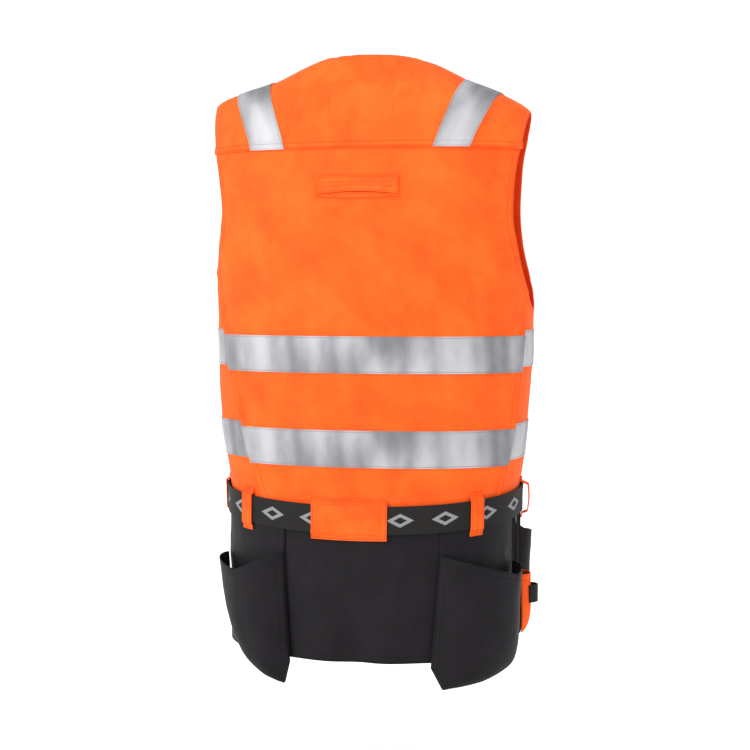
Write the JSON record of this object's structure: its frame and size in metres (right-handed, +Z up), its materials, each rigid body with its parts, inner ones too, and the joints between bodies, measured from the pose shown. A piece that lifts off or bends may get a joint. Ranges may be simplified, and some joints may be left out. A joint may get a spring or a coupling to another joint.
{
  "type": "utility work vest",
  "caption": "Sleeveless work vest with V-neck, zip front, reflective tape, webbing belt in loops, back skirt and hanging holster pockets.",
  "frame": {"origin": "midway between the two points where the shoulders meet the neck, which is where a wearer's shoulders carry the vest", "axes": "+Z up, the front with the zip faces -Y, the wearer's left is +X"},
  "size_m": [0.4647, 0.3077, 0.8578],
  "materials": {
    "orange_cloth": "fluorescent orange polyester-cotton twill, matt with a faint sheen",
    "charcoal_cloth": "dark grey hard-wearing polyamide weave, matt",
    "reflective_tape": "silver glass-bead tape, satin with soft bright patches",
    "black_webbing": null,
    "black_plastic": "black moulded acetal, fine matt"
  },
  "bodies": {
    "root": {"back_yoke": "orange_cloth", "shoulder_tape_back_left": "reflective_tape", "shoulder_tape_back_right": "reflective_tape", "back_panel": "orange_cloth", "tape_back_lower": "reflective_tape", "tape_back_upper": "reflective_tape", "back_slot_flap": "orange_cloth", "back_slot_lip": "orange_cloth", "front_panel_left": "orange_cloth", "tape_front_lower_left": "reflective_tape", "tape_front_upper_left": "reflective_tape", "shoulder_tape_front_left": "reflective_tape", "front_panel_right": "orange_cloth", "tape_front_lower_right": "reflective_tape", "tape_front_upper_right": "reflective_tape", "shoulder_tape_front_right": "reflective_tape", "skirt_back": "charcoal_cloth", "holster_board_back_left": "charcoal_cloth", "holster_bag_back_left": "charcoal_cloth", "holster_board_back_right": "charcoal_cloth", "holster_bag_back_right": "charcoal_cloth", "holster_board_front_left": "charcoal_cloth", "holster_bag_front_left": "charcoal_cloth", "holster_board_front_right": "charcoal_cloth", "holster_bag_front_right": "charcoal_cloth", "tool_backing_left": "charcoal_cloth", "tool_pocket_left": "orange_cloth", "tool_loop_left": "black_webbing", "tool_backing_right": "charcoal_cloth", "tool_pocket_right": "orange_cloth", "tool_loop_right": "black_webbing", "belt": "black_webbing", "belt_buckle": "black_plastic", "loop_back_left": "orange_cloth", "loop_back_right": "orange_cloth", "loop_side_left": "orange_cloth", "loop_side_right": "orange_cloth", "loop_front_left": "orange_cloth", "loop_front_right": "orange_cloth", "loop_centre": "orange_cloth", "zip_tape": "black_webbing", "zip_chain": "black_plastic", "zip_slider": "black_plastic"}
  },
  "joints": []
}
